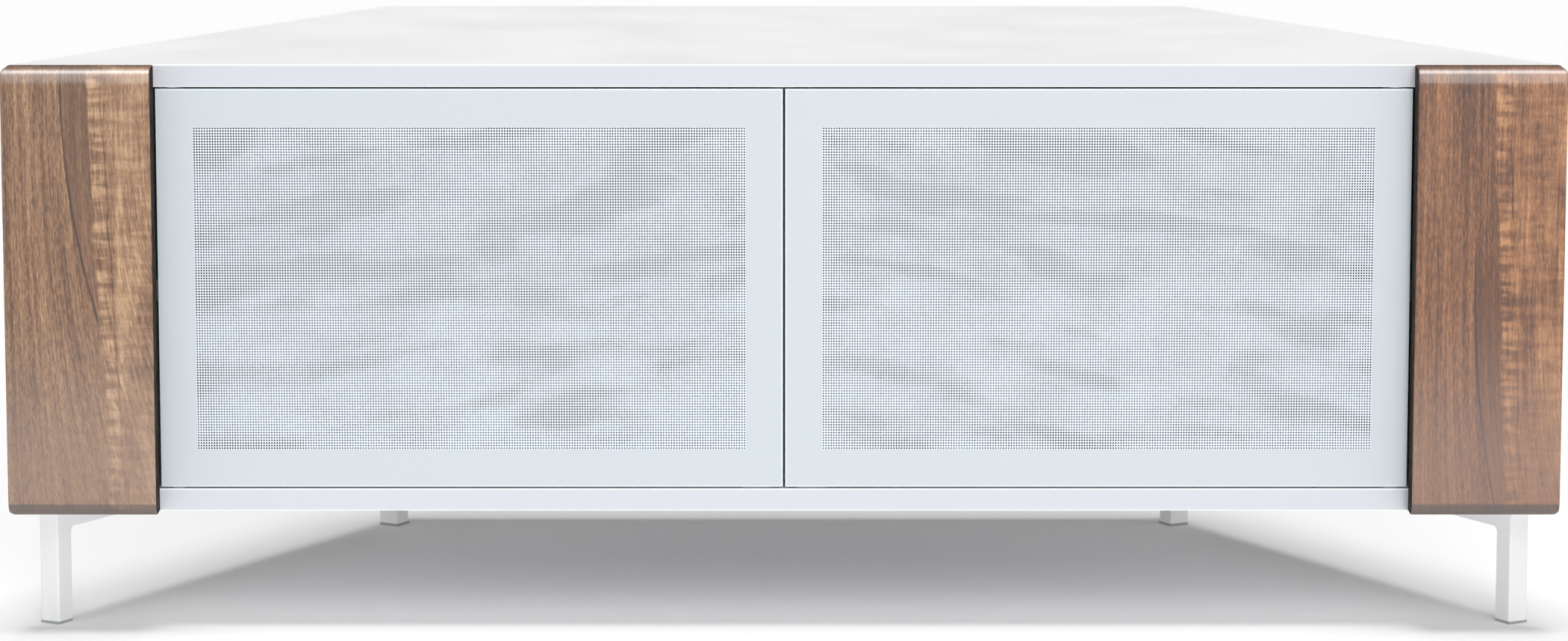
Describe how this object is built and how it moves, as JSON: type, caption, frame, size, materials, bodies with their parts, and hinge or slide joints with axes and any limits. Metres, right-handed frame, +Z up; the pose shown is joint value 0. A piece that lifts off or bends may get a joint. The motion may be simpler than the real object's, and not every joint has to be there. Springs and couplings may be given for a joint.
{
  "type": "corner media cabinet",
  "caption": "Low white corner cabinet with slanted sides, wood-faced front corners, dot-printed glass doors on pivots and square-tube leg frames.",
  "frame": {"origin": "on the floor, under the middle of the overall box", "axes": "+X to the right seen from the front, the doors face -Y, +Z up"},
  "size_m": [1.1, 0.45, 0.405],
  "materials": {
    "white_board": "gloss white lacquered board",
    "white_hardboard": "satin white painted hardboard",
    "walnut": "satin walnut veneer",
    "printed_glass": "clear glass printed white on the back with a grid of clear dots",
    "white_metal": "white powder coat",
    "white_plastic": "satin moulded",
    "grey_plastic": "satin moulded",
    "black_plastic": "satin moulded",
    "clear_rubber": "clear soft bumper",
    "zinc_steel": "bright zinc plate",
    "hinge_metal": "satin nickel plate",
    "dark_metal": "dark plated magnet",
    "beech": "plain turned beech"
  },
  "bodies": {
    "cabinet": {"top_board": "white_board", "bottom_board": "white_board", "side_panel_left": "white_board", "side_panel_right": "white_board", "front_stile_left": "white_board", "front_stile_right": "white_board", "centre_divider": "white_board", "back_panel_left": "white_hardboard", "back_panel_right": "white_hardboard", "cable_grommet_left": "white_plastic", "cable_grommet_right": "white_plastic", "shelf_left": "white_board", "shelf_right": "white_board", "shelf_pins": "zinc_steel", "wood_profile_left": "walnut", "wood_profile_right": "walnut", "profile_screws": "zinc_steel", "pivot_bushes": "grey_plastic", "latch_housing_left": "black_plastic", "latch_housing_right": "black_plastic", "latch_spring_left": "zinc_steel", "latch_spring_right": "zinc_steel", "door_stops": "white_plastic", "stop_bumpers": "clear_rubber", "fitting_screws": "zinc_steel", "leg_front_left": "white_metal", "leg_front_right": "white_metal", "leg_rear_left": "white_metal", "leg_rear_right": "white_metal", "leg_rail_left": "white_metal", "leg_rail_right": "white_metal", "foot_glides": "grey_plastic", "leg_screws": "zinc_steel", "cam_locks": "zinc_steel", "cam_bolts": "zinc_steel", "cam_covers": "white_plastic", "dowels": "beech", "back_panel_screws": "zinc_steel"},
    "door_left": {"door_glass_left": "printed_glass", "hinge_blocks_left": "hinge_metal", "hinge_pins_left": "zinc_steel", "strike_plate_left": "hinge_metal"},
    "door_right": {"door_glass_right": "printed_glass", "hinge_blocks_right": "hinge_metal", "hinge_pins_right": "zinc_steel", "strike_plate_right": "hinge_metal"},
    "plunger_left": {"latch_plunger_left": "grey_plastic", "latch_magnet_left": "dark_metal"},
    "plunger_right": {"latch_plunger_right": "grey_plastic", "latch_magnet_right": "dark_metal"}
  },
  "joints": [
    {"name": "door_left_hinge", "type": "hinge", "parent": "cabinet", "child": "door_left", "pos_m": [-0.432, -0.192, 0.245], "axis": [0, 0, -1], "range_deg": [0, 95]},
    {"name": "door_right_hinge", "type": "hinge", "parent": "cabinet", "child": "door_right", "pos_m": [0.432, -0.192, 0.245], "axis": [0, 0, 1], "range_deg": [0, 95]},
    {"name": "latch_left_push", "type": "slide", "parent": "cabinet", "child": "plunger_left", "axis": [0, 1, 0], "range_m": [0, 0.003], "stiffness_N_per_m": 300, "springref_m": -0.004, "deforming": ["latch_spring_left"]},
    {"name": "latch_right_push", "type": "slide", "parent": "cabinet", "child": "plunger_right", "axis": [0, 1, 0], "range_m": [0, 0.003], "stiffness_N_per_m": 300, "springref_m": -0.004, "deforming": ["latch_spring_right"]}
  ]
}
